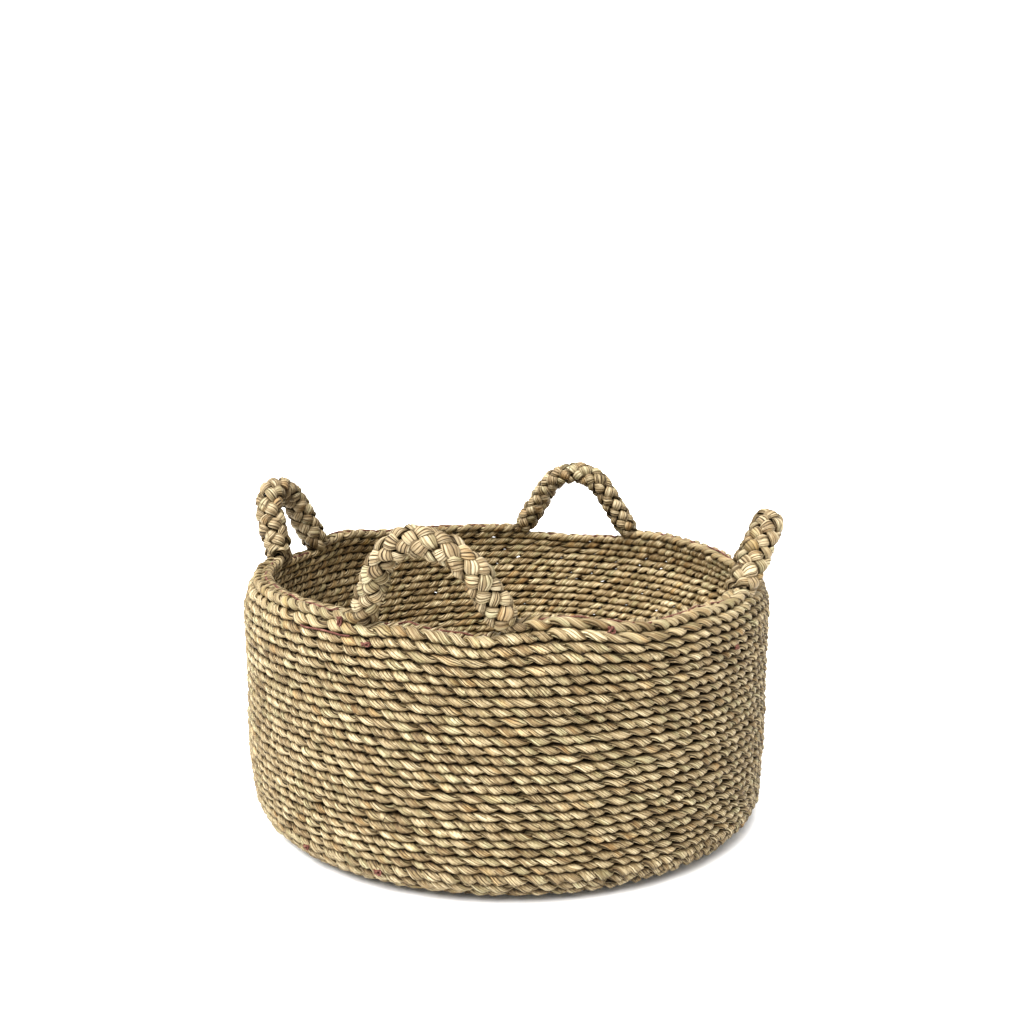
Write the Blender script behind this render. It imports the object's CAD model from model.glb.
import math
import bpy
import numpy as np
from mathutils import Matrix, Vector


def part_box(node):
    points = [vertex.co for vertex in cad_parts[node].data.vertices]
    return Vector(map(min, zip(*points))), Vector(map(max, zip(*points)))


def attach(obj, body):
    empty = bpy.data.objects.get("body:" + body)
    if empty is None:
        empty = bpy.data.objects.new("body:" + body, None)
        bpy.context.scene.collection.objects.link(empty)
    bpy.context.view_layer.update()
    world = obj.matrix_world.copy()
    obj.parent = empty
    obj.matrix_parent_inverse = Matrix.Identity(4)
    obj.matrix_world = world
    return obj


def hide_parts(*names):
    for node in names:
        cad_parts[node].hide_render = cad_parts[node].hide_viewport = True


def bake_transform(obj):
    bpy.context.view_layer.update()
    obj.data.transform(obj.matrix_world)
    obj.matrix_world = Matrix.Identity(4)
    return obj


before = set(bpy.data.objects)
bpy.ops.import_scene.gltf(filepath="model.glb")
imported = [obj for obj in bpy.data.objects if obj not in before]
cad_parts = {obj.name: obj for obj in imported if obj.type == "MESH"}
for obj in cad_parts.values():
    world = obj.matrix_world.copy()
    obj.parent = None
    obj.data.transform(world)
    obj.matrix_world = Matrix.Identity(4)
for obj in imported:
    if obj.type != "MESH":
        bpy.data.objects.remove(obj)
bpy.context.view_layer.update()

TAU = 2 * math.pi
MM = 0.001


# ---- Sizes, in metres, taken from the CAD nodes where they can be ----

def low(node):
    return np.array(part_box(node)[0])


def high(node):
    return np.array(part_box(node)[1])


EDGE_R = float(low("wall_coil")[2])
BELLY_Z = float(low("shoulder_coil")[2])
WALL_TOP = float(high("shoulder_coil")[2])
RIM_TOP = float(high("rim_front_right")[2])
FLAT_R = float(high("base_coil")[0])
PLAIT_W = float(high("base_coil")[2])
PLAIT_T = RIM_TOP - WALL_TOP
HALF_W = PLAIT_W / 2

# Outer radius at the widest place, where the wall starts, and at the rim
BELLY_R = 0.250
BASE_R = 0.2445
RIM_R = 0.2375

# Courses of plait in the base, round its edge, and up the wall
BASE_TURNS = round(FLAT_R / PLAIT_T)
EDGE_TURNS = 4
WALL_START = BASE_TURNS + EDGE_TURNS
WALL_TURNS = round((WALL_TOP - EDGE_R) / PLAIT_T)
BASE_PITCH = FLAT_R / BASE_TURNS
WALL_PITCH = (WALL_TOP - EDGE_R) / WALL_TURNS
BELLY = WALL_START + round((BELLY_Z - EDGE_R) / WALL_PITCH)
TOP = WALL_START + WALL_TURNS

# The first courses of the base are a true spiral, and later ones lie more level
SPIRAL_TURNS = 6
# Each wall course lies level, and climbs to the next one just behind the right
# handle, in a small part of a turn
CLIMB_AT = math.radians(97)
CLIMB = 22 / 360

# The plait's strands: the length of one loop, how far they swing across the plait
# and through it, their half width and half thickness, and how far loops lean over
PERIOD = 42 * MM
SWING = 6.5 * MM
RISE = 1.5 * MM
STRAND_W = 3.5 * MM
STRAND_T = 2.9 * MM
LAP = math.radians(20)
# Rings in one loop and points round each ring, on the coil and on the top course
COIL_RINGS = 20
COIL_POINTS = 16
TOP_RINGS = 26
TOP_POINTS = 20
# Ridges round a strand of the top course, and how deep the lines between them are
TOP_LEAVES = 10
TOP_LEAF_DEPTH = 0.14
# How much smaller the top course is inside the sleeves, and where it narrows
SQUEEZE = 0.34
SQUEEZE_FROM = 2 * MM
SQUEEZE_LEN = 8 * MM

# The handles, as in the CAD: azimuth, distance between the feet, height, radius of
# the round top as a part of half the span, and lean outwards
HANDLES = ["front", "right", "back", "left"]
AZIMUTH = np.radians([1.9, 4.7, -3.1, -3.2]) + np.arange(4) * math.pi / 2
SPAN = np.array([122, 120, 128, 78]) * MM
HEIGHT = np.array([72, 56, 69, 69]) * MM
BEND = np.array([0.74, 0.55, 0.6, 0.72])
LEAN = np.radians([20, 21, -4, 22])
FOOT_Z = WALL_TOP + 0.3 * MM + PLAIT_T / 2
FOOT_LEN = 12 * MM

# The braided sleeves: thickness, width, the length in which a bundle goes once
# round, the radius at the bundles' middle, and which way the first crossing faces
SLEEVE_T = np.array([23.5, 23, 21.5, 23]) * MM
SLEEVE_W = np.array([25, 27, 26, 27]) * MM
BRAID_PITCH = 62 * MM
BRAID_R = 9.4 * MM
BRAID_FACE = [1, -1, 1, -1]
# The bundles' half width and half thickness, how far they rise where they cross,
# and how far their middle lies under the sleeve's surface
BUNDLE_W = 4.6 * MM
BUNDLE_T = 2.25 * MM
BUNDLE_LIFT = 1.9 * MM
BUNDLE_UNDER = 3.3 * MM
BUNDLE_STEP = 1.25 * MM
# Points round a bundle, the ridges among them, and how deep the lines between are
BUNDLE_POINTS = 42
BUNDLE_LEAVES = 14
BUNDLE_LEAF_DEPTH = 0.24
# The ends of a bundle taper in one length, and sink into the foot in another
TAPER_LEN = 7 * MM
SINK = 2.6 * MM
SINK_LEN = 8 * MM

# Short loose ends of blades on each stretch of the coil, and on each sleeve
COIL_WISPS = 24
SLEEVE_WISPS = 40

# Where hands pressed the wall out or in: azimuth in degrees and its spread, height
# in mm and its spread, and mm outwards
DENTS = [(-62, 40, 70, 38, 3.0), (100, 42, 170, 60, -3.2), (-70, 30, 225, 25, 1.5),
         (20, 60, 110, 60, 0.6)]
# Where the rim rides high or low: azimuth in degrees and its spread, and mm upwards
WAVES = [(246, 8, 6.0), (180, 12, -3.0), (118, 12, -5.0), (150, 8, 2.0), (27, 8, 4.5),
         (47, 10, -5.5), (68, 8, -3.5), (-3, 5, 3.6), (11, 4, -3.0)]
# How far the outer base courses lift off the floor, and the wall's ripple, in mm
EDGE_LIFT = 2.8
RIPPLE = 0.7
# Below this height the floor presses the plait flat
PRESSED = 1.5 * MM


# ---- Small maths ----

# A wave has values for this many metres, which is more than the plait's length
WAVE_LEN = 70.0


def smooth(x):
    """0 below 0, 1 above 1, and an even curve between them."""
    x = np.clip(x, 0, 1)
    return x * x * (3 - 2 * x)


def unit(v):
    return v / np.maximum(np.linalg.norm(v, axis=-1, keepdims=True), 1e-12)


def near(x, middle, spread):
    """1 at the middle, and falling off evenly to both sides of it."""
    return np.exp(-((x - middle) / spread) ** 2)


def distance_along(points):
    """The way along some points, from 0 at the first one."""
    return np.concatenate([[0], np.cumsum(np.linalg.norm(np.diff(points, axis=0), axis=1))])


def wave(seed, step):
    """A smooth random curve between -1 and 1, with a new value every step."""
    values = np.random.default_rng(seed).uniform(-1, 1, int(WAVE_LEN / step) + 6)

    def at(s):
        t = np.maximum(s / step + 2, 0)
        i = np.minimum(t.astype(int), len(values) - 2)
        f = smooth(t - i)
        return values[i] * (1 - f) + values[i + 1] * f
    return at


def around(az, r, z):
    """A point at an azimuth, which runs from the front (-Y) towards the right (+X)."""
    return np.stack([r * np.sin(az), -r * np.cos(az), z], -1)


def wall_r(z):
    """Outer radius of the wall at a height."""
    below = BELLY_R - (BELLY_R - BASE_R) * ((BELLY_Z - z) / (BELLY_Z - EDGE_R)) ** 2
    above = BELLY_R - (BELLY_R - RIM_R) * ((z - BELLY_Z) / (RIM_TOP - BELLY_Z)) ** 2
    return np.where(z < BELLY_Z, below, above)


# Radius of the plait's middle where the handles stand
MID_R = float(wall_r(FOOT_Z)) - HALF_W


def settle(p):
    """The uneven shape of a hand-coiled basket, and the slight lift of its base edge."""
    az = np.degrees(np.arctan2(p[..., 0], -p[..., 1]))
    z = p[..., 2] / MM
    r = np.hypot(p[..., 0], p[..., 1])
    near_rim = smooth((z - 130) / 105) ** 3
    out = 0 * z
    up = EDGE_LIFT * smooth((r / MM - 175) / 45) * (1 - smooth(z / 70))
    for a0, da, z0, dz, amount in DENTS:
        out = out + amount * near((az - a0 + 180) % 360 - 180, 0, da) * near(z, z0, dz)
    for a0, da, amount in WAVES:
        up = up + amount * near((az - a0 + 180) % 360 - 180, 0, da) * near_rim
    out = out + RIPPLE * smooth(z / 120) * np.sin(np.radians(5 * az + 110 + z * 0.7))
    grow = 1 + out * MM / np.maximum(r, 0.05)
    return np.stack([p[..., 0] * grow, p[..., 1] * grow, p[..., 2] + up * MM], -1)


# ---- The coil: where a point of the flat plait goes on the basket ----

def profile(u, a):
    """Radius and height on the basket of course u and the distance a across the plait."""
    tip = np.clip((u - BASE_TURNS) / EDGE_TURNS, 0, 1) * math.pi / 2
    mid = EDGE_R - HALF_W
    z = EDGE_R + (u - WALL_START) * WALL_PITCH
    bent_r = np.minimum(u, BASE_TURNS) * BASE_PITCH + (mid + a) * np.sin(tip)
    bent_z = EDGE_R - (mid + a) * np.cos(tip)
    on_wall = u >= WALL_START
    return (np.where(on_wall, wall_r(z) - HALF_W + a, bent_r),
            np.where(on_wall, z, bent_z))


def course_at(turns):
    """Course coordinate of the plait's middle after some turns, and its thickness there."""
    k = np.floor(turns)
    part = turns - k
    level = np.clip((turns - SPIRAL_TURNS) / (WALL_START - SPIRAL_TURNS), 0, 1)
    climb = smooth(part / CLIMB)
    u = 0.5 + k + (1 - level) * part + level * climb
    ending = turns >= TOP - 1
    return np.where(ending, TOP - 0.5 + climb / 2, u), np.where(ending, 1 - climb, 1.0)


def plait_length(turns, course):
    """The plait's length from its start to each of some turns."""
    r, z = profile(course, 0 * course)
    steps = np.hypot(np.diff(r), np.diff(z)) ** 2 + (r[1:] * np.diff(turns) * TAU) ** 2
    return np.concatenate([[0], np.cumsum(np.sqrt(steps))])


TURNS = np.linspace(0, TOP - 1 + CLIMB * 0.93, 90001)
COURSE, THICK = course_at(TURNS)
LENGTH = plait_length(TURNS, COURSE)
# How the courses stray out or in, and up or down
STRAY_R = wave(11, 0.09)
STRAY_Z = wave(12, 0.07)


def length_at(turns):
    return float(np.interp(turns, TURNS, LENGTH))


def on_coil(p):
    """Flat plait points (along, across, through) to points on the basket."""
    s, a, b = p[..., 0], p[..., 1], p[..., 2]
    turns = np.interp(s, LENGTH, TURNS)
    u = np.interp(s, LENGTH, COURSE)
    # The courses that tip over round the edge are pressed a little wider
    spread = smooth((u - BASE_TURNS + 1) / 2) * smooth((WALL_START + 1 - u) / 2)
    b = b * np.interp(s, LENGTH, THICK) * (1 + 0.16 * spread)
    pitch = np.where(u < WALL_START, BASE_PITCH, WALL_PITCH)
    shift = 0.35 * MM * STRAY_Z(s) * smooth((u - WALL_START) / 3) * (u < TOP - 1)
    r, z = profile(u + (b + shift) / pitch, a + 0.6 * MM * STRAY_R(s))
    z = np.where(z < PRESSED, PRESSED * np.exp(np.minimum(z / PRESSED - 1, 0)), z)
    return settle(around(turns * TAU + CLIMB_AT, r, z))


# ---- The top course: rim, up and over each handle, rim ----

def at_handle(i, x, y, z):
    """Points in handle i's own axes: x along its hinge line, y inwards, z up the arch."""
    c, s = math.cos(LEAN[i]), math.sin(LEAN[i])
    y, z = y * c - z * s, y * s + z * c
    y = y - math.sqrt(MID_R ** 2 - (SPAN[i] / 2) ** 2)
    c, s = math.cos(AZIMUTH[i]), math.sin(AZIMUTH[i])
    return np.stack([x * c - y * s, x * s + y * c, z + FOOT_Z], -1)


def arch_points(i):
    """Handle i's two straight legs and round top, as x and z from between its feet."""
    half = SPAN[i] / 2
    radius = BEND[i] * half
    bend_z = HEIGHT[i] - radius
    reach = math.hypot(half, bend_z)
    leg = math.sqrt(reach ** 2 - radius ** 2)
    angle = math.atan2(bend_z, -half) - math.asin(radius / reach)
    t = np.linspace(0, leg, 60)[:-1]
    bend = np.linspace(angle - math.pi / 2, math.pi / 2, 80)
    x = np.concatenate([half + t * math.cos(angle), radius * np.cos(bend)])
    z = np.concatenate([t * math.sin(angle), bend_z + radius * np.sin(bend)])
    return np.concatenate([-x, x[-2::-1]]), np.concatenate([z, z[-2::-1]])


def rim_between(i, gap):
    """Azimuths where the rim leaves handle i and meets the next one, gap clear of both."""
    j = (i + 1) % 4
    start = AZIMUTH[i] + math.asin((SPAN[i] / 2 + gap) / MID_R)
    stop = AZIMUTH[j] + (TAU if j == 0 else 0) - math.asin((SPAN[j] / 2 + gap) / MID_R)
    return start, stop


def closed_smooth(v, sigma):
    """Gaussian smoothing of a closed path sampled every millimetre."""
    f = np.fft.rfftfreq(len(v))
    gain = np.exp(-2 * (math.pi * f * sigma) ** 2)
    return np.fft.irfft(np.fft.rfft(v, axis=0) * gain[:, None], len(v), axis=0)


def top_course():
    """The closed path of the top course, its outward directions, its length, and
    where along it each handle's feet are."""
    points, outs, marks = [], [], []
    count = 0
    for i in range(4):
        x, z = arch_points(i)
        points.append(at_handle(i, x, 0 * x, z))
        outs.append(at_handle(i, x, 0 * x - 1, z) - points[-1])
        marks.append((count, count + len(x) - 1))
        az = np.linspace(*rim_between(i, 0), 300)[1:-1]
        points.append(around(az, MID_R + 0 * az, RIM_TOP - PLAIT_T / 2 + 0 * az))
        outs.append(around(az, 1 + 0 * az, 0 * az))
        count += len(x) + len(az)
    closed = np.concatenate(points + [points[0][:1]])
    outs = np.concatenate(outs + [outs[0][:1]])
    s = distance_along(closed)
    n = int(round(s[-1] / MM))
    even = np.arange(n) * s[-1] / n
    path = np.stack([np.interp(even, s, closed[:, k]) for k in range(3)], -1)
    out = np.stack([np.interp(even, s, outs[:, k]) for k in range(3)], -1)
    feet = [(s[first], s[last]) for first, last in marks]
    return closed_smooth(path, 4.5), unit(closed_smooth(unit(out), 7)), s[-1], feet


PATH, OUT, PATH_LEN, FEET = top_course()
STEP = PATH_LEN / len(PATH)
TANGENT = unit(np.roll(PATH, -1, 0) - np.roll(PATH, 1, 0))
OUT = unit(OUT - (OUT * TANGENT).sum(-1, keepdims=True) * TANGENT)
UP = np.cross(OUT, TANGENT)
# A whole number of loops, each of about 41 mm, goes round the top course
RIM_PERIOD = PATH_LEN / round(PATH_LEN / (41 * MM))


def on_path(p):
    """Flat plait points to points on the top course."""
    t = (p[..., 0] / STEP) % len(PATH)
    i = t.astype(int) % len(PATH)
    f = (t - np.floor(t))[..., None]
    j = (i + 1) % len(PATH)
    at, out, up = [v[i] * (1 - f) + v[j] * f for v in (PATH, OUT, UP)]
    return settle(at + p[..., 1:2] * out + p[..., 2:3] * up)


# ---- Strands ----

def section(m, lobes, depth, square):
    """Unit section of a bundle: m points round a soft oval, with a ridge for each leaf."""
    t = np.arange(m) / m * TAU
    ridge = 1 - depth * (1 - np.abs(np.sin(t * lobes / 2))) if lobes else 1
    x = np.sign(np.cos(t)) * np.abs(np.cos(t)) ** square * ridge
    y = np.sign(np.sin(t)) * np.abs(np.sin(t)) ** square * ridge
    return x, y


def plait_strand(s0, s1, k, period, seed, rings, m, size=np.ones_like, lobes=0, depth=0.0):
    """Strand k of the plait in flat space: ring points and each ring's way along it."""
    n = max(int(round((s1 - s0) / period * rings)), 2) + 1
    s = np.linspace(s0, s1, n)
    drift = 2.3 * wave(5, 0.15)(s) + 0.45 * wave(6, 0.04)(s)
    phase = TAU * (s / period + k / 3) + drift + 0.5 * wave(seed + 1, 0.04)(s)
    scale = size(s)
    leaf = 1 - 0.12 * np.cos(2 * phase)
    wide = STRAND_W * scale * leaf * (1 + 0.2 * wave(seed + 2, 0.027)(s))
    thick = STRAND_T * scale ** 0.5 * (1 + 0.16 * wave(seed + 3, 0.018)(s))
    a = SWING * scale * np.sin(phase) * (1 + 0.08 * wave(seed + 4, 0.019)(s))
    b = RISE * scale ** 0.5 * np.sin(2 * phase) + 0.4 * MM * wave(seed + 5, 0.023)(s)
    centre = np.stack([s, a, b], -1)
    t = unit(np.gradient(centre, axis=0))
    # Its flat side looks sideways at the plait's edges, and through the plait between them
    tilt = math.pi / 2 * np.cos(phase)
    face = np.stack([0 * s, np.cos(tilt), np.sin(tilt)], -1)
    face = unit(face - (face * t).sum(-1, keepdims=True) * t)
    across = np.cross(t, face)
    # Each loop leans over the next one a little, like a shingle
    turn = LAP * np.abs(np.sin(phase))[:, None]
    c, d = np.cos(turn), np.sin(turn)
    face, across = face * c + across * d, across * c - face * d
    x, y = section(m, lobes, depth, 0.8)
    ring = (centre[:, None] + across[:, None] * (wide[:, None] * x)[..., None]
            + face[:, None] * (thick[:, None] * y)[..., None])
    return ring, distance_along(centre)


def round_tube(points, radius, m, aside, flat=1.0):
    """Rings of m points round a line. The radius is one number, or one for each point."""
    t = unit(np.gradient(points, axis=0))
    side = unit(np.cross(t, np.array(aside) + 0 * t))
    lift = np.cross(side, t)
    turn = np.arange(m) / m * TAU
    radius = np.broadcast_to(radius, len(points))[:, None, None]
    return (points[:, None] + radius * (np.cos(turn)[:, None] * side[:, None]
                                        + flat * np.sin(turn)[:, None] * lift[:, None]))


def wisp(points, radius):
    """The thin tapering end of a blade, which stands off the plait or the braid."""
    taper = radius * np.linspace(1, 0.35, len(points))
    return round_tube(points, taper, 5, (0.3, 0.2, 1.0), 0.6)


# ---- Meshes ----

def tube(points, seed, run=None, side=None, gap=None):
    """A strand ready for a mesh: ring points, way along, how far out of the wall, and
    how deep in the gap between courses."""
    if run is None:
        run = distance_along(points.mean(1))
    if side is None:
        side = np.ones(points.shape[:2])
    if gap is None:
        gap = np.zeros(points.shape[:2])
    # The rings go round the way that makes the faces look outwards
    i = len(points) // 2
    face = np.cross(points[i, 1] - points[i, 0], points[i + 1, 0] - points[i, 0])
    if (face * (points[i, 0] - points[i].mean(0))).sum() < 0:
        points, side, gap = points[:, ::-1], side[:, ::-1], gap[:, ::-1]
    return {"points": points, "run": run, "seed": seed, "side": side, "gap": gap}


class Unrolled:
    """The two maps of a piece's tubes: Strand, in metres along and turns round, and
    OFBake, where the tubes lie end to end in rows that fill a square."""

    def __init__(self, total, girth):
        self.rows = max(int(math.ceil(math.sqrt(total / girth))), 1)
        self.row_len = total / self.rows * 1.0005
        self.gone = 0.0
        self.strand, self.bake = [], []
        self.strand_caps, self.bake_caps = [], []

    def add(self, t, j):
        """Maps tube t. j is each face's number round its ring."""
        m = t["points"].shape[1]
        along = t["run"] + 3.7 * (t["seed"] % 97)
        u0, u1 = along[:-1, None] + 0 * j, along[1:, None] + 0 * j
        v0, v1 = j / m, (j + 1) / m
        self.strand.append(np.stack([u0, v0, u0, v1, u1, v1, u1, v0], -1).ravel())
        run = self.gone + t["run"]
        row = np.floor(run[:-1, None] / self.row_len) + 0 * j
        x0 = (run[:-1, None] - row * self.row_len) / self.row_len * 0.985
        x1 = (run[1:, None] - row * self.row_len) / self.row_len * 0.985
        y0 = (row + 0.06 + 0.88 * v0) / self.rows
        y1 = (row + 0.06 + 0.88 * v1) / self.rows
        self.bake.append(np.stack([x0, y0, x0, y1, x1, y1, x1, y0], -1).ravel())
        turn = np.arange(m)
        for ring, order in ((0, turn[::-1]), (-1, turn)):
            self.strand_caps.append(np.stack([0 * order + along[ring], order / m], -1).ravel())
            self.bake_caps.append(np.stack([0 * order + x0[ring, 0], y0[ring][order]], -1).ravel())
        self.gone += t["run"][-1]

    def layers(self):
        """Each map's name and values: all the sides first, and then all the ends."""
        yield "Strand", np.concatenate(self.strand + self.strand_caps)
        yield "OFBake", np.concatenate(self.bake + self.bake_caps)


def build(name, tubes, material, girth=0.021):
    """One mesh object from many tubes with closed ends."""
    maps = Unrolled(sum(t["run"][-1] for t in tubes), girth)
    quads, caps = [], []
    start = 0
    for t in tubes:
        n, m = t["points"].shape[:2]
        i, j = np.meshgrid(np.arange(n - 1), np.arange(m), indexing="ij")
        k = (j + 1) % m
        ring, after = start + i * m, start + (i + 1) * m
        quads.append(np.stack([ring + j, ring + k, after + k, after + j], -1).reshape(-1, 4))
        caps += [start + np.arange(m)[::-1], start + (n - 1) * m + np.arange(m)]
        maps.add(t, j)
        start += n * m
    verts = np.concatenate([t["points"].reshape(-1, 3) for t in tubes])
    quads = np.concatenate(quads)
    loops = np.concatenate([quads.ravel()] + caps)
    sizes = np.concatenate([np.full(len(quads), 4), [len(cap) for cap in caps]])
    starts = np.concatenate([[0], np.cumsum(sizes)[:-1]])
    mesh = bpy.data.meshes.new(name)
    mesh.vertices.add(len(verts))
    mesh.vertices.foreach_set("co", verts.astype(np.float32).ravel())
    mesh.loops.add(len(loops))
    mesh.loops.foreach_set("vertex_index", loops.astype(np.int32))
    mesh.polygons.add(len(sizes))
    mesh.polygons.foreach_set("loop_start", starts.astype(np.int32))
    mesh.polygons.foreach_set("use_smooth", np.ones(len(sizes), bool))
    for layer, values in maps.layers():
        mesh.uv_layers.new(name=layer).data.foreach_set("uv", values.astype(np.float32))
    for layer, key in (("Side", "side"), ("Gap", "gap")):
        values = np.concatenate([t[key].ravel() for t in tubes]).astype(np.float32)
        mesh.attributes.new(layer, "FLOAT", "POINT").data.foreach_set("value", values)
    mesh.update(calc_edges=True)
    mesh.validate()
    mesh.materials.append(material)
    obj = bpy.data.objects.new(name, mesh)
    bpy.context.scene.collection.objects.link(obj)
    return obj


# ---- Materials ----

class Surface:
    """A new material, with short calls that add nodes to it."""

    def __init__(self, name, rough):
        self.mat = bpy.data.materials.new(name)
        self.mat.use_nodes = True
        self.nodes = self.mat.node_tree.nodes
        self.links = self.mat.node_tree.links
        self.bsdf = self.nodes["Principled BSDF"]
        self.bsdf.inputs["Roughness"].default_value = rough
        strand = self.node("ShaderNodeUVMap", uv_map="Strand").outputs[0]
        split = self.node("ShaderNodeSeparateXYZ", (strand,))
        self.along, self.round = split.outputs[0], split.outputs[1]

    def put(self, socket, value):
        """Sets a socket to a number or a colour, or links another socket to it."""
        if isinstance(value, bpy.types.NodeSocket):
            self.links.new(value, socket)
        else:
            socket.default_value = value

    def node(self, kind, values=(), **settings):
        n = self.nodes.new(kind)
        for key, value in settings.items():
            setattr(n, key, value)
        for socket, value in zip(n.inputs, values):
            self.put(socket, value)
        return n

    def maths(self, op, *values):
        return self.node("ShaderNodeMath", values, operation=op).outputs[0]

    def noise(self, per_metre, per_turn, detail=2.0):
        """Noise stretched along the strand."""
        x = self.maths("MULTIPLY", self.along, per_metre)
        y = self.maths("MULTIPLY", self.round, per_turn)
        place = self.node("ShaderNodeCombineXYZ", (x, y)).outputs[0]
        n = self.node("ShaderNodeTexNoise", (place,))
        n.inputs["Scale"].default_value = 1.0
        n.inputs["Detail"].default_value = detail
        return n.outputs["Fac"]

    def step(self, value, start, end, top=1.0):
        """0 up to start, top from end, and smooth between them."""
        return self.node("ShaderNodeMapRange", (value, start, end, 0.0, top),
                         interpolation_type="SMOOTHSTEP").outputs[0]

    def multiply(self, factor, a, b):
        n = self.node("ShaderNodeMix", data_type="RGBA", blend_type="MULTIPLY")
        for socket, value in ((n.inputs[0], factor), (n.inputs[6], a), (n.inputs[7], b)):
            self.put(socket, value)
        return n.outputs[2]

    def ramp(self, value, *stops):
        n = self.node("ShaderNodeValToRGB", (value,))
        ends = n.color_ramp.elements
        for stop, (at, colour) in zip((ends[0], ends[1]), (stops[0], stops[-1])):
            stop.position, stop.color = at, (*colour, 1)
        for at, colour in stops[1:-1]:
            ends.new(at).color = (*colour, 1)
        return n.outputs[0]

    def attribute(self, name):
        return self.node("ShaderNodeAttribute", attribute_name=name).outputs["Fac"]

    def base(self, colour, red, green, blue):
        """Sets the base colour, with each channel darkened by its own light."""
        light = self.node("ShaderNodeCombineColor", (red, green, blue)).outputs[0]
        self.put(self.bsdf.inputs["Base Color"], self.multiply(1.0, colour, light))

    def bump(self, height, distance):
        n = self.node("ShaderNodeBump")
        n.inputs["Strength"].default_value = 0.9
        n.inputs["Distance"].default_value = distance
        self.put(n.inputs["Height"], height)
        self.put(self.bsdf.inputs["Normal"], n.outputs[0])


def linear(*rgb):
    """Linear values of a display colour from 0 to 255."""
    c = np.array(rgb) / 255
    return tuple(float(v) for v in np.where(c <= 0.04045, c / 12.92, ((c + 0.055) / 1.055) ** 2.4))


DARK = linear(38, 27, 15)


def dried_leaf(name, low_c, mid_c, high_c, blades=13, clean=1.0, twist=7.0, crease_w=0.05,
               sway=0.12, cut_min=0.36):
    """Dried leaf blades side by side round each strand, each with its own tint.

    clean is how much of the paler inner side shows, twist is the blades' turns in a
    metre, crease_w is the width of a strand's dark sides in turns, sway is how far
    the blades stray, and cut_min is how dark the faintest line between blades is."""
    look = Surface(name, 0.55)
    maths = look.maths
    # Blades run along the strand with a slight twist, and sway
    place = maths("MULTIPLY_ADD", look.noise(55, 2.0), sway, look.round)
    place = maths("MULTIPLY", maths("MULTIPLY_ADD", look.along, twist, place), float(blades))
    blade = maths("FLOOR", place)
    saw = maths("MULTIPLY_ADD", maths("FRACT", place), 2.0, -1.0)
    ridge = maths("SUBTRACT", 1.0, maths("ABSOLUTE", saw))
    piece = maths("FLOOR", maths("MULTIPLY_ADD", blade, 0.37, maths("MULTIPLY", look.along, 13.0)))

    def pick(number):
        """A random value for each length of each blade."""
        cell = look.node("ShaderNodeCombineXYZ", (number, piece)).outputs[0]
        return look.node("ShaderNodeTexWhiteNoise", (cell,), noise_dimensions="2D").outputs["Value"]

    tint = pick(blade)
    deep = pick(maths("ADD", maths("FLOOR", maths("ADD", place, 0.5)), 0.5))
    groove = look.step(ridge, 0.0, maths("MULTIPLY_ADD", deep, 0.5, 0.2))
    fibre = look.noise(60, 140, 3.0)
    patch = look.noise(23, 0.6)
    tone = maths("MULTIPLY_ADD", fibre, 0.9, maths("MULTIPLY_ADD", patch, 0.8, -0.42))
    tone = maths("ADD", maths("MULTIPLY", tint, 0.36), tone)
    colour = look.ramp(tone, (0.0, DARK), (0.22, low_c), (0.55, mid_c), (1.0, high_c))
    # Some lengths of leaf have dried to a warmer brown, and some stayed green
    warm = look.step(look.noise(29, 1.9), 0.54, 0.76)
    colour = look.multiply(warm, colour, (0.94, 0.8, 0.62, 1))
    green = look.step(look.noise(34, 2.3, 1.0), 0.5, 0.3)
    colour = look.multiply(green, colour, (0.93, 1.0, 0.97, 1))
    # The inner side is cleaner and paler than the outer one
    inner = look.step(look.attribute("Side"), 0.3, -0.6, clean)
    colour = look.multiply(inner, colour, (1.46, 1.47, 1.52, 1))
    # Dust and shade gather between blades, where strands meet, and between courses
    crease = look.step(maths("PINGPONG", look.round, 0.25), 0.0, crease_w)
    cut = maths("MULTIPLY", maths("SUBTRACT", 1.0, groove),
                maths("MULTIPLY_ADD", deep, 0.96 - cut_min, cut_min))
    gap = maths("MULTIPLY", look.attribute("Gap"), maths("MULTIPLY_ADD", inner, -0.35, 0.88))
    light = maths("MULTIPLY", maths("SUBTRACT", 1.0, gap), maths("MULTIPLY_ADD", crease, 0.84, 0.16))
    light = maths("MULTIPLY", maths("SUBTRACT", 1.0, cut), light)
    look.base(colour, light, maths("POWER", light, 1.12), maths("POWER", light, 1.35))
    look.bsdf.inputs["Specular IOR Level"].default_value = 0.35
    look.bump(maths("MULTIPLY_ADD", fibre, 0.5, maths("MULTIPLY_ADD", groove, 0.8, crease)), 0.0005)
    return look.mat


def cotton(name, dark, mid_c, pale):
    """Two-ply cotton thread, faded in places."""
    look = Surface(name, 0.9)
    maths = look.maths
    turns = maths("ADD", maths("MULTIPLY", look.along, 420.0), maths("MULTIPLY", look.round, 2.0))
    ply = maths("PINGPONG", turns, 0.5)
    faded = maths("MULTIPLY_ADD", look.noise(160, 3.0), 1.5, -0.3)
    colour = look.ramp(faded, (0.1, dark), (0.5, mid_c), (0.9, pale))
    light = maths("MULTIPLY_ADD", look.step(ply, 0.0, 0.3), 0.6, 0.4)
    look.base(colour, light, light, light)
    look.bump(ply, 0.0003)
    return look.mat


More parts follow.
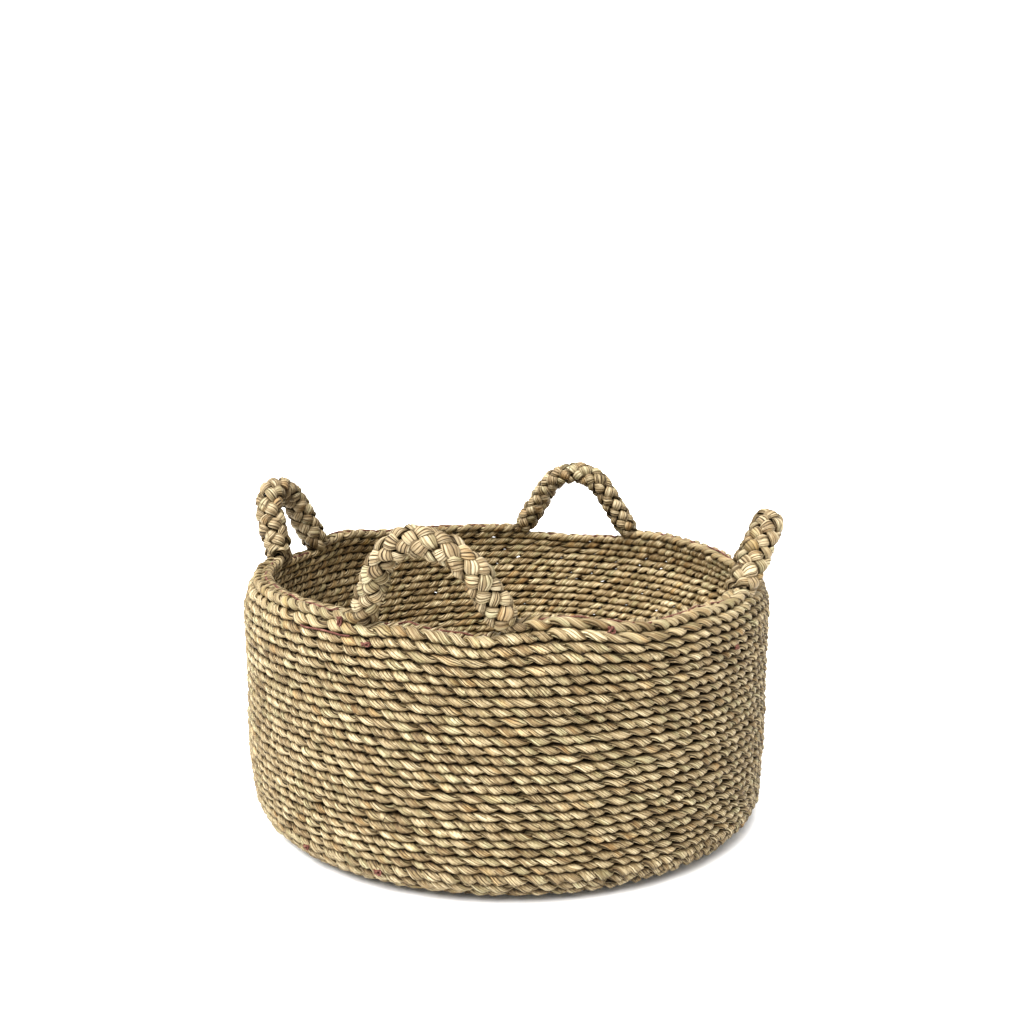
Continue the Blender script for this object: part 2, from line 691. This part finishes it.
STRAW = dried_leaf("seagrass", linear(104, 84, 57), linear(143, 128, 99), linear(200, 188, 159),
                   crease_w=0.06)
RIM = dried_leaf("seagrass_rim", linear(106, 87, 60), linear(146, 130, 100), linear(194, 181, 151),
                 blades=20, twist=1.5, crease_w=0.06, sway=0.08)
SHADE = dried_leaf("seagrass_shade", linear(108, 89, 62), linear(146, 130, 99),
                   linear(190, 178, 147))
BRAID = dried_leaf("seagrass_braid", linear(92, 75, 51), linear(137, 121, 94),
                   linear(187, 175, 148), blades=17, clean=0.0, twist=1.0, crease_w=0.06,
                   sway=0.08, cut_min=0.55)
THREAD = cotton("sewing_thread", linear(80, 44, 38), linear(110, 72, 62), linear(166, 132, 116))


# ---- Basket: base, edge and wall ----

def coil_strands(s0, s1, seed):
    """The plait's three strands. Every piece cuts the same three, so the rings meet exactly."""
    tubes = []
    for k in range(3):
        ring, run = plait_strand(s0, s1, k, PERIOD, 100 + 20 * k, COIL_RINGS, COIL_POINTS)
        through = ring[..., 2] / PLAIT_T * 2
        last = ring[..., 0] > length_at(TOP - 2)
        gap = np.where(last & (through > 0), 0, smooth((np.abs(through) - 0.55) / 0.42))
        tubes.append(tube(on_coil(ring), seed * 3 + k, run, ring[..., 1] / HALF_W, gap))
    return tubes


def coil_wisps(s0, s1, count, seed):
    """Short ends of blades that stand off the plait's outer edge."""
    rng = np.random.default_rng(seed)
    tubes = []
    t = np.linspace(0, 1, 7)
    for k in range(count):
        start, length = rng.uniform(s0, s1 - 0.02), rng.uniform(5, 15) * MM
        out, up = rng.uniform(0.3, 2.6) * MM, rng.uniform(-4, 4) * MM
        b = rng.uniform(-2.5, 2.5) * MM + up * t
        path = np.stack([start + length * t, HALF_W - 0.6 * MM + out * t ** 1.5, b], -1)
        tubes.append(tube(wisp(on_coil(path), rng.uniform(0.25, 0.5) * MM), seed + k))
    return tubes


def coil_pieces(prefix, turn0, turn1, count, seed, material, node, wisps):
    """A stretch of the coil, in count pieces of the same length."""
    cuts = np.linspace(length_at(turn0), length_at(turn1), count + 1)
    for k in range(count):
        s0, s1 = cuts[k], cuts[k + 1]
        tubes = coil_strands(s0, s1, seed + k)
        tubes += coil_wisps(s0, s1, wisps, 5000 + 40 * (seed + k))
        obj = build(f"{prefix}_{k + 1}", tubes, material)
        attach(obj, "basket")
        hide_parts(node)


coil_pieces("base_plait", 0, BASE_TURNS, 6, 10, SHADE, "base_coil", 0)
coil_pieces("edge_plait", BASE_TURNS, WALL_START, 2, 20, STRAW, "edge_coil", COIL_WISPS)
coil_pieces("wall_plait", WALL_START, BELLY, 9, 30, STRAW, "wall_coil", COIL_WISPS)
coil_pieces("shoulder_plait", BELLY, TURNS[-1], 2, 50, STRAW, "shoulder_coil", COIL_WISPS)


# ---- Rim and handle cores ----

def top_size(s):
    """Size of the top course along it: 1 on the rim, and smaller inside the sleeves."""
    value = np.ones_like(s)
    for first, last in FEET:
        for lap in (-PATH_LEN, 0, PATH_LEN):
            inside = smooth((s + lap - first - SQUEEZE_FROM) / SQUEEZE_LEN)
            inside = inside * smooth((last - SQUEEZE_FROM - s - lap) / SQUEEZE_LEN)
            value = value - SQUEEZE * inside
    return value


def top_piece(name, s0, s1, seed, material, node):
    """A stretch of the top course."""
    tubes = []
    for k in range(3):
        ring, run = plait_strand(s0, s1, k, RIM_PERIOD, 700 + 20 * k, TOP_RINGS, TOP_POINTS,
                                 top_size, TOP_LEAVES, TOP_LEAF_DEPTH)
        tubes.append(tube(on_path(ring), seed * 3 + k, run))
    obj = build(name, tubes, material)
    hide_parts(node)
    return obj


def flexes(obj):
    """The piece stays with the basket at handle i's feet, and turns with the handle above."""
    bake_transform(obj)


for i, name in enumerate(HANDLES):
    j = (i + 1) % 4
    first, last = FEET[i]
    after = FEET[j][0] + (PATH_LEN if j == 0 else 0)
    arch = top_piece("core_plait_" + name, first - FOOT_LEN, last + FOOT_LEN, 80 + i,
                     BRAID, "core_" + name)
    flexes(arch)
    side = f"{name}_{HANDLES[j]}"
    part = top_piece("rim_plait_" + side, last + FOOT_LEN, after - FOOT_LEN, 90 + i,
                     RIM, "rim_" + side)
    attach(part, "basket")


# ---- Sleeves: eight flat bundles braided round each arch ----

def braid_bundle(s0, s1, hand, k, seed, face):
    """One bundle of the braid, where hand is 1 or -1 for the way it winds. It gives
    each point's way along the arch, turn round it, height, and shade."""
    n = int((s1 - s0) / BUNDLE_STEP) + 1
    s = np.linspace(s0, s1, n)
    turn = hand * TAU * s / BRAID_PITCH + (k + 0.5) * math.pi / 2 + 0.23 * wave(seed + 1, 0.021)(s)
    # It passes over one bundle and under the next, and swells where it is on top
    over = hand * np.cos(4 * turn) * face
    lift = BUNDLE_LIFT * over + 1.0 * MM * wave(seed + 2, 0.012)(s)
    swell = 1 + 0.26 * over
    ends = np.minimum(smooth((s - s0) / TAPER_LEN), smooth((s1 - s) / TAPER_LEN))
    sink = SINK * (near(s, s0, SINK_LEN) + near(s, s1, SINK_LEN))
    uneven = 1 + 0.2 * wave(seed + 3, 0.012)(s) + 0.14 * wave(seed + 5, 0.06)(s)
    wide = BUNDLE_W * swell * uneven * (0.55 + 0.45 * ends)
    thick = BUNDLE_T * swell * (1 + 0.18 * wave(seed + 4, 0.012)(s)) * (0.5 + 0.5 * ends)
    x, y = section(BUNDLE_POINTS, BUNDLE_LEAVES, BUNDLE_LEAF_DEPTH, 0.72)
    slope = math.atan2(TAU * BRAID_R, BRAID_PITCH)
    w = wide[:, None] * x
    height = (lift * ends - sink)[:, None] + thick[:, None] * y
    s_at = s[:, None] - hand * w * math.sin(slope)
    turn_at = turn[:, None] + w * math.cos(slope) / BRAID_R
    under = 0.8 * smooth((0.15 - over) / 0.9)[:, None] + 0 * height
    return s_at, turn_at, height, under


def on_sleeve(i, s, turn, height):
    """Points of sleeve i, whose section is an oval round the top course's path."""
    half_w, half_t = SLEEVE_W[i] / 2 - BUNDLE_UNDER, SLEEVE_T[i] / 2 - BUNDLE_UNDER
    c, d = np.cos(turn), np.sin(turn)
    n = unit(np.stack([c / half_w, d / half_t], -1))
    a = half_w * c + height * n[..., 0]
    b = half_t * d + height * n[..., 1]
    return on_path(np.stack([s, a, b], -1))


def sleeve_bundles(i, rng):
    first, last = FEET[i]
    tubes = []
    for hand in (1, -1):
        for k in range(4):
            seed = 1000 + 200 * i + 20 * k + (7 if hand > 0 else 0)
            s0 = first - 2 * MM + rng.uniform(-3, 2) * MM
            s1 = last + 2 * MM + rng.uniform(-2, 3) * MM
            s, turn, height, under = braid_bundle(s0, s1, hand, k, seed, BRAID_FACE[i])
            tubes.append(tube(on_sleeve(i, s, turn, height), seed, gap=under))
    return tubes


def sleeve_wisps(i, rng):
    first, last = FEET[i]
    tubes = []
    t = np.linspace(0, 1, 8)
    for k in range(SLEEVE_WISPS):
        start, turn = rng.uniform(first + 6 * MM, last - 20 * MM), rng.uniform(0, TAU)
        s = start + rng.uniform(-12, 12) * MM * t
        turn = turn + rng.uniform(-0.9, 0.9) * t
        height = 3.4 * MM + rng.uniform(0.8, 4.0) * MM * t ** 1.5
        line = on_sleeve(i, s, turn, height)
        tubes.append(tube(wisp(line, rng.uniform(0.35, 0.75) * MM), 4000 + 40 * i + k))
    return tubes


for i, name in enumerate(HANDLES):
    rng = np.random.default_rng(900 + i)
    obj = build("sleeve_braid_" + name, sleeve_bundles(i, rng) + sleeve_wisps(i, rng), BRAID, 0.026)
    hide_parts("sleeve_" + name)
    flexes(obj)


# ---- Sewing thread ----

THREAD_R = 0.8 * MM
THREAD_STEP = 0.006
# How far the thread sinks into the course below it, on the wall's top and on the rim
SUNK_WALL = 0.2 * MM
SUNK_RIM = 0.9 * MM
# How far the thread on the wall's top ends inside a handle's feet, and how far the
# thread on the rim ends outside them
INSIDE_FEET = 16 * MM
OUTSIDE_FEET = 22 * MM
# Knots on the outside of the wall, by the handle that their rim thread starts at:
# azimuth in degrees, and height, half width and half height in mm
KNOTS = {"front": [(36.5, 229, 2.6, 2.4), (68, 196, 2.0, 1.4)],
         "left": [(-17, 228, 1.7, 3.8), (-28, 20, 2.6, 1.6), (-9, 19, 3.0, 2.2), (-10, 214, 3.6, 1.3)]}
# Long loose stitches between two courses, by the same handle: from and to in
# degrees, and height
LONG_STITCHES = {"left": [(-27, -14, WALL_TOP - WALL_PITCH)]}


def thread_line(i, start, stop, z_top, sunk):
    """A line of thread along the top of a course."""
    az = np.arange(start, stop, THREAD_STEP)
    across = wave(1500 + i, 0.22)(az) * 5 * MM
    z = z_top - sunk + 1.3 * MM * wave(1600 + i, 0.05)(az)
    return settle(around(az, MID_R + across, z))


def knot(az, z, wide, tall):
    """A small tangle of thread on the outside of the wall."""
    a = math.radians(az)
    r = float(wall_r(z)) if z > EDGE_R else FLAT_R + math.sqrt(EDGE_R ** 2 - (EDGE_R - z) ** 2)
    t = np.linspace(0, TAU, 48)
    along, up = wide * np.sin(2 * t), tall * np.sin(3 * t + 0.5)
    out = 0.5 * MM + 0.9 * MM * np.cos(5 * t)
    return settle(around(a + along / r, r + out, z + up))


def long_stitch(az0, az1, z):
    """A stitch that lies loose in the groove between two courses."""
    a = np.radians(np.linspace(az0, az1, 60))
    z = z + 0.8 * MM * wave(1700, 0.04)(a + 1)
    return settle(around(a, wall_r(z) - 0.4 * MM, z))


def thread_piece(node, i, paths):
    tubes = [tube(round_tube(path, THREAD_R, 6, (0, 0, 1.0)), 1700 + i) for path in paths]
    obj = build(node.replace("thread", "stitch"), tubes, THREAD, 0.005)
    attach(obj, "basket")
    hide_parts(node)


for i, name in enumerate(HANDLES):
    reach = math.asin((SPAN[i] / 2 - INSIDE_FEET) / MID_R)
    line = thread_line(i, AZIMUTH[i] - reach, AZIMUTH[i] + reach, WALL_TOP, SUNK_WALL)
    thread_piece("thread_" + name, i, [line])
    paths = [thread_line(i, *rim_between(i, OUTSIDE_FEET), RIM_TOP, SUNK_RIM)]
    paths += [knot(az, z * MM, wide * MM, tall * MM) for az, z, wide, tall in KNOTS.get(name, [])]
    paths += [long_stitch(*stitch) for stitch in LONG_STITCHES.get(name, [])]
    thread_piece(f"thread_{name}_{HANDLES[(i + 1) % 4]}", i, paths)


# ---- Studio ----

FLOOR_Z = -0.6 * MM
FLOOR_COLOUR = (0.9, 0.9, 0.905, 1)
CAMERA_AZ = math.radians(17)
CAMERA_DOWN = math.radians(10.71)
CAMERA_R = 1.1593
CAMERA_Z = 0.4692


def studio_floor():
    bpy.ops.mesh.primitive_plane_add(size=60, location=(0, 0, FLOOR_Z))
    floor = bpy.context.object
    floor.name = "studio_floor"
    paint = bpy.data.materials.new("studio_floor")
    paint.use_nodes = True
    bsdf = paint.node_tree.nodes["Principled BSDF"]
    bsdf.inputs["Base Color"].default_value = FLOOR_COLOUR
    bsdf.inputs["Roughness"].default_value = 0.9
    floor.data.materials.append(paint)


def sun_light(name, azimuth, elevation, angle, strength):
    """A sun, with its place and its angle in degrees."""
    light = bpy.data.lights.new(name, "SUN")
    light.angle = math.radians(angle)
    light.energy = strength
    obj = bpy.data.objects.new(name, light)
    e = math.radians(elevation)
    place = Vector(around(math.radians(azimuth), math.cos(e), math.sin(e)))
    obj.location = place * 3
    obj.rotation_euler = (-place).to_track_quat("-Z", "Y").to_euler()
    bpy.context.scene.collection.objects.link(obj)


def white_world():
    world = bpy.data.worlds.new("studio")
    world.use_nodes = True
    world.node_tree.nodes["Background"].inputs[0].default_value = (1, 1, 1, 1)
    world.node_tree.nodes["Background"].inputs[1].default_value = 1.0
    bpy.context.scene.world = world


def photo_camera():
    lens = bpy.data.cameras.new("camera")
    lens.sensor_width = 36
    lens.lens = 43.21
    lens.shift_x = 0.0039
    lens.shift_y = 0.0355
    obj = bpy.data.objects.new("camera", lens)
    obj.location = around(CAMERA_AZ, CAMERA_R, CAMERA_Z)
    obj.rotation_euler = (math.pi / 2 - CAMERA_DOWN, 0, CAMERA_AZ)
    bpy.context.scene.collection.objects.link(obj)
    bpy.context.scene.camera = obj


studio_floor()
sun_light("key_light", azimuth=-16, elevation=58, angle=50, strength=5.0)
white_world()
bpy.context.scene.view_settings.view_transform = "Standard"
bpy.context.scene.view_settings.look = "High Contrast"
photo_camera()
